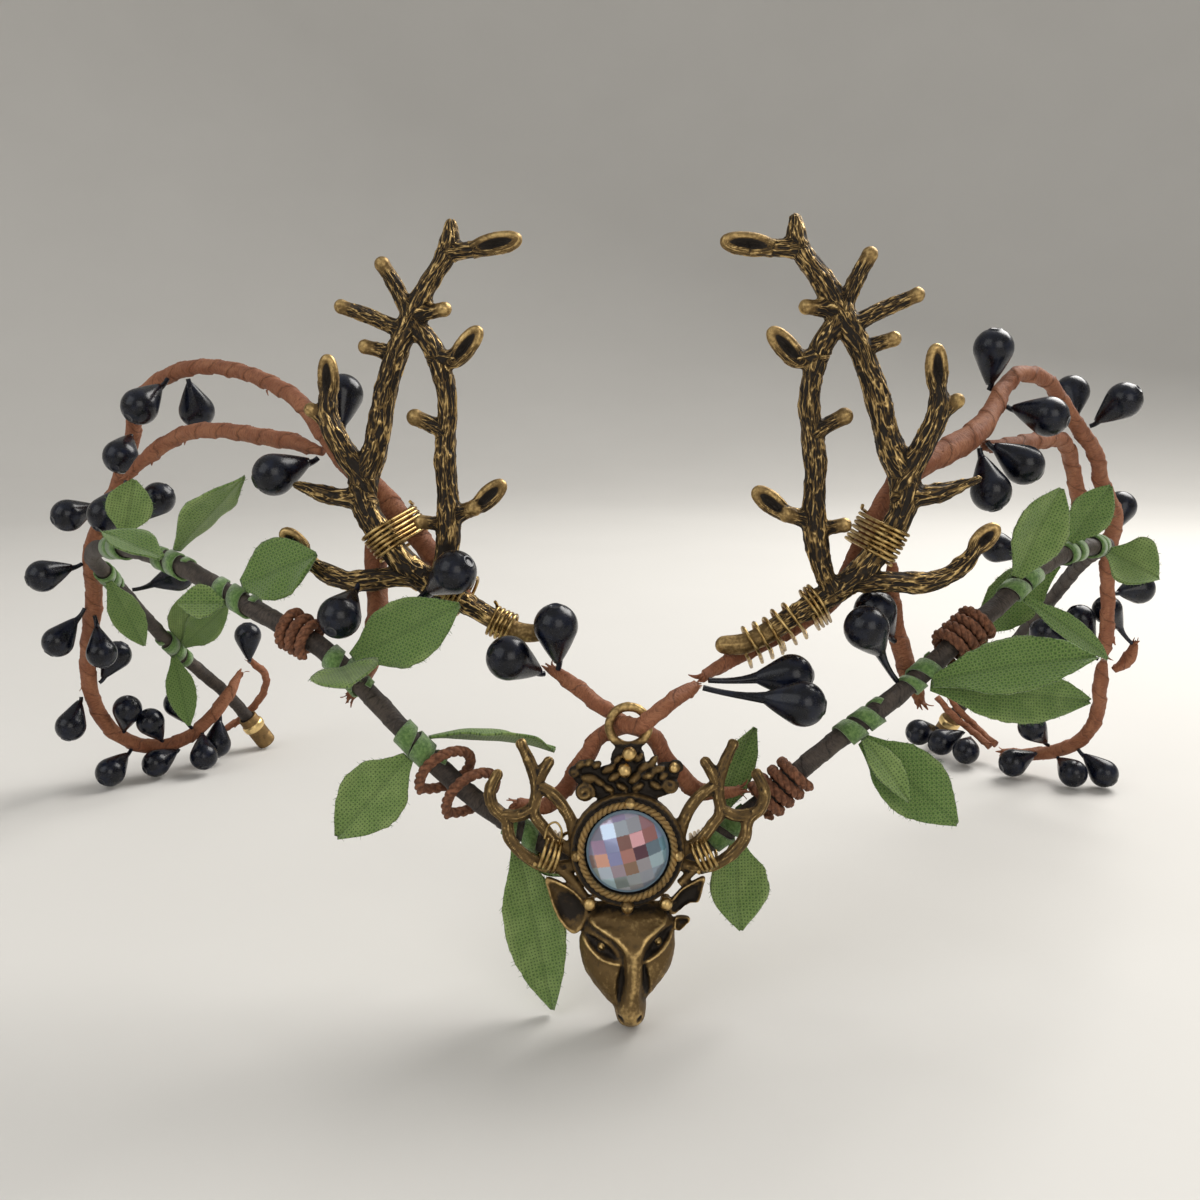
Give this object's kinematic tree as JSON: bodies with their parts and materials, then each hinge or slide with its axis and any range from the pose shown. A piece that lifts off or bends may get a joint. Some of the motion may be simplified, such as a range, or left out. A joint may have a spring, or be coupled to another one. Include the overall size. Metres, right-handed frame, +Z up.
{
  "type": "woodland tiara",
  "caption": "Open circlet tiara with cast twig antlers, a hanging deer head with a faceted stone, wound paper vines, black berries and green cloth leaves.",
  "frame": {"origin": "centre of the bounding box on the surface that the tiara rests on", "axes": "+X along the tiara's width, +Z up, and the deer at the brow faces -Y"},
  "size_m": [0.2232, 0.1308, 0.1047],
  "materials": {
    "bronze": "aged, dark in the recesses",
    "ferrule_bronze": "satin",
    "brass_wire": "satin",
    "stone": "faceted, iridescent",
    "stem_tape": "wrinkled wound tape",
    "vine_paper": "wound paper",
    "paper_cord": "twisted paper",
    "leaf_cloth": "woven cloth",
    "berry_skin": "satin"
  },
  "bodies": {
    "root": {"deer_pendant": "bronze", "cabochon": "stone", "antler_left": "bronze", "antler_right": "bronze", "lashing_antler_left": "brass_wire", "lashing_antler_right": "brass_wire", "lashing_deer": "brass_wire", "stem": "stem_tape", "ferrule_left": "ferrule_bronze", "ferrule_right": "ferrule_bronze", "vine_brow": "vine_paper", "vine_hanger": "vine_paper", "vine_left": "vine_paper", "spur_left": "vine_paper", "strut_left": "vine_paper", "tie_left": "vine_paper", "vine_right": "vine_paper", "spur_right": "vine_paper", "fork_right": "vine_paper", "tail_right": "vine_paper", "tie_right": "vine_paper", "strut_right": "vine_paper", "cord_front_left": "paper_cord", "cord_front_right": "paper_cord", "cord_side_left": "paper_cord", "cord_side_right": "paper_cord", "leaves_brow": "leaf_cloth", "leaves_front_left": "leaf_cloth", "leaves_antler_left": "leaf_cloth", "leaves_side_left": "leaf_cloth", "leaves_turn_left": "leaf_cloth", "leaf_upright_left": "leaf_cloth", "leaf_hanging_left": "leaf_cloth", "leaves_rear_left": "leaf_cloth", "leaves_stone_right": "leaf_cloth", "leaves_front_right": "leaf_cloth", "leaves_big_right": "leaf_cloth", "leaves_upright_right": "leaf_cloth", "leaf_turn_right": "leaf_cloth", "leaves_low_right": "leaf_cloth", "berries_brow_left": "berry_skin", "berries_antler_left": "berry_skin", "berries_arch_left": "berry_skin", "berries_crest_left": "berry_skin", "berries_outer_left": "berry_skin", "berries_inner_left": "berry_skin", "berries_drop_left": "berry_skin", "berries_low_left": "berry_skin", "berries_end_left": "berry_skin", "berries_brow_right": "berry_skin", "berries_antler_right": "berry_skin", "berries_arch_right": "berry_skin", "berries_crest_right": "berry_skin", "berries_inner_right": "berry_skin", "berries_outer_right": "berry_skin", "berries_low_right": "berry_skin", "berries_end_right": "berry_skin"}
  },
  "joints": []
}
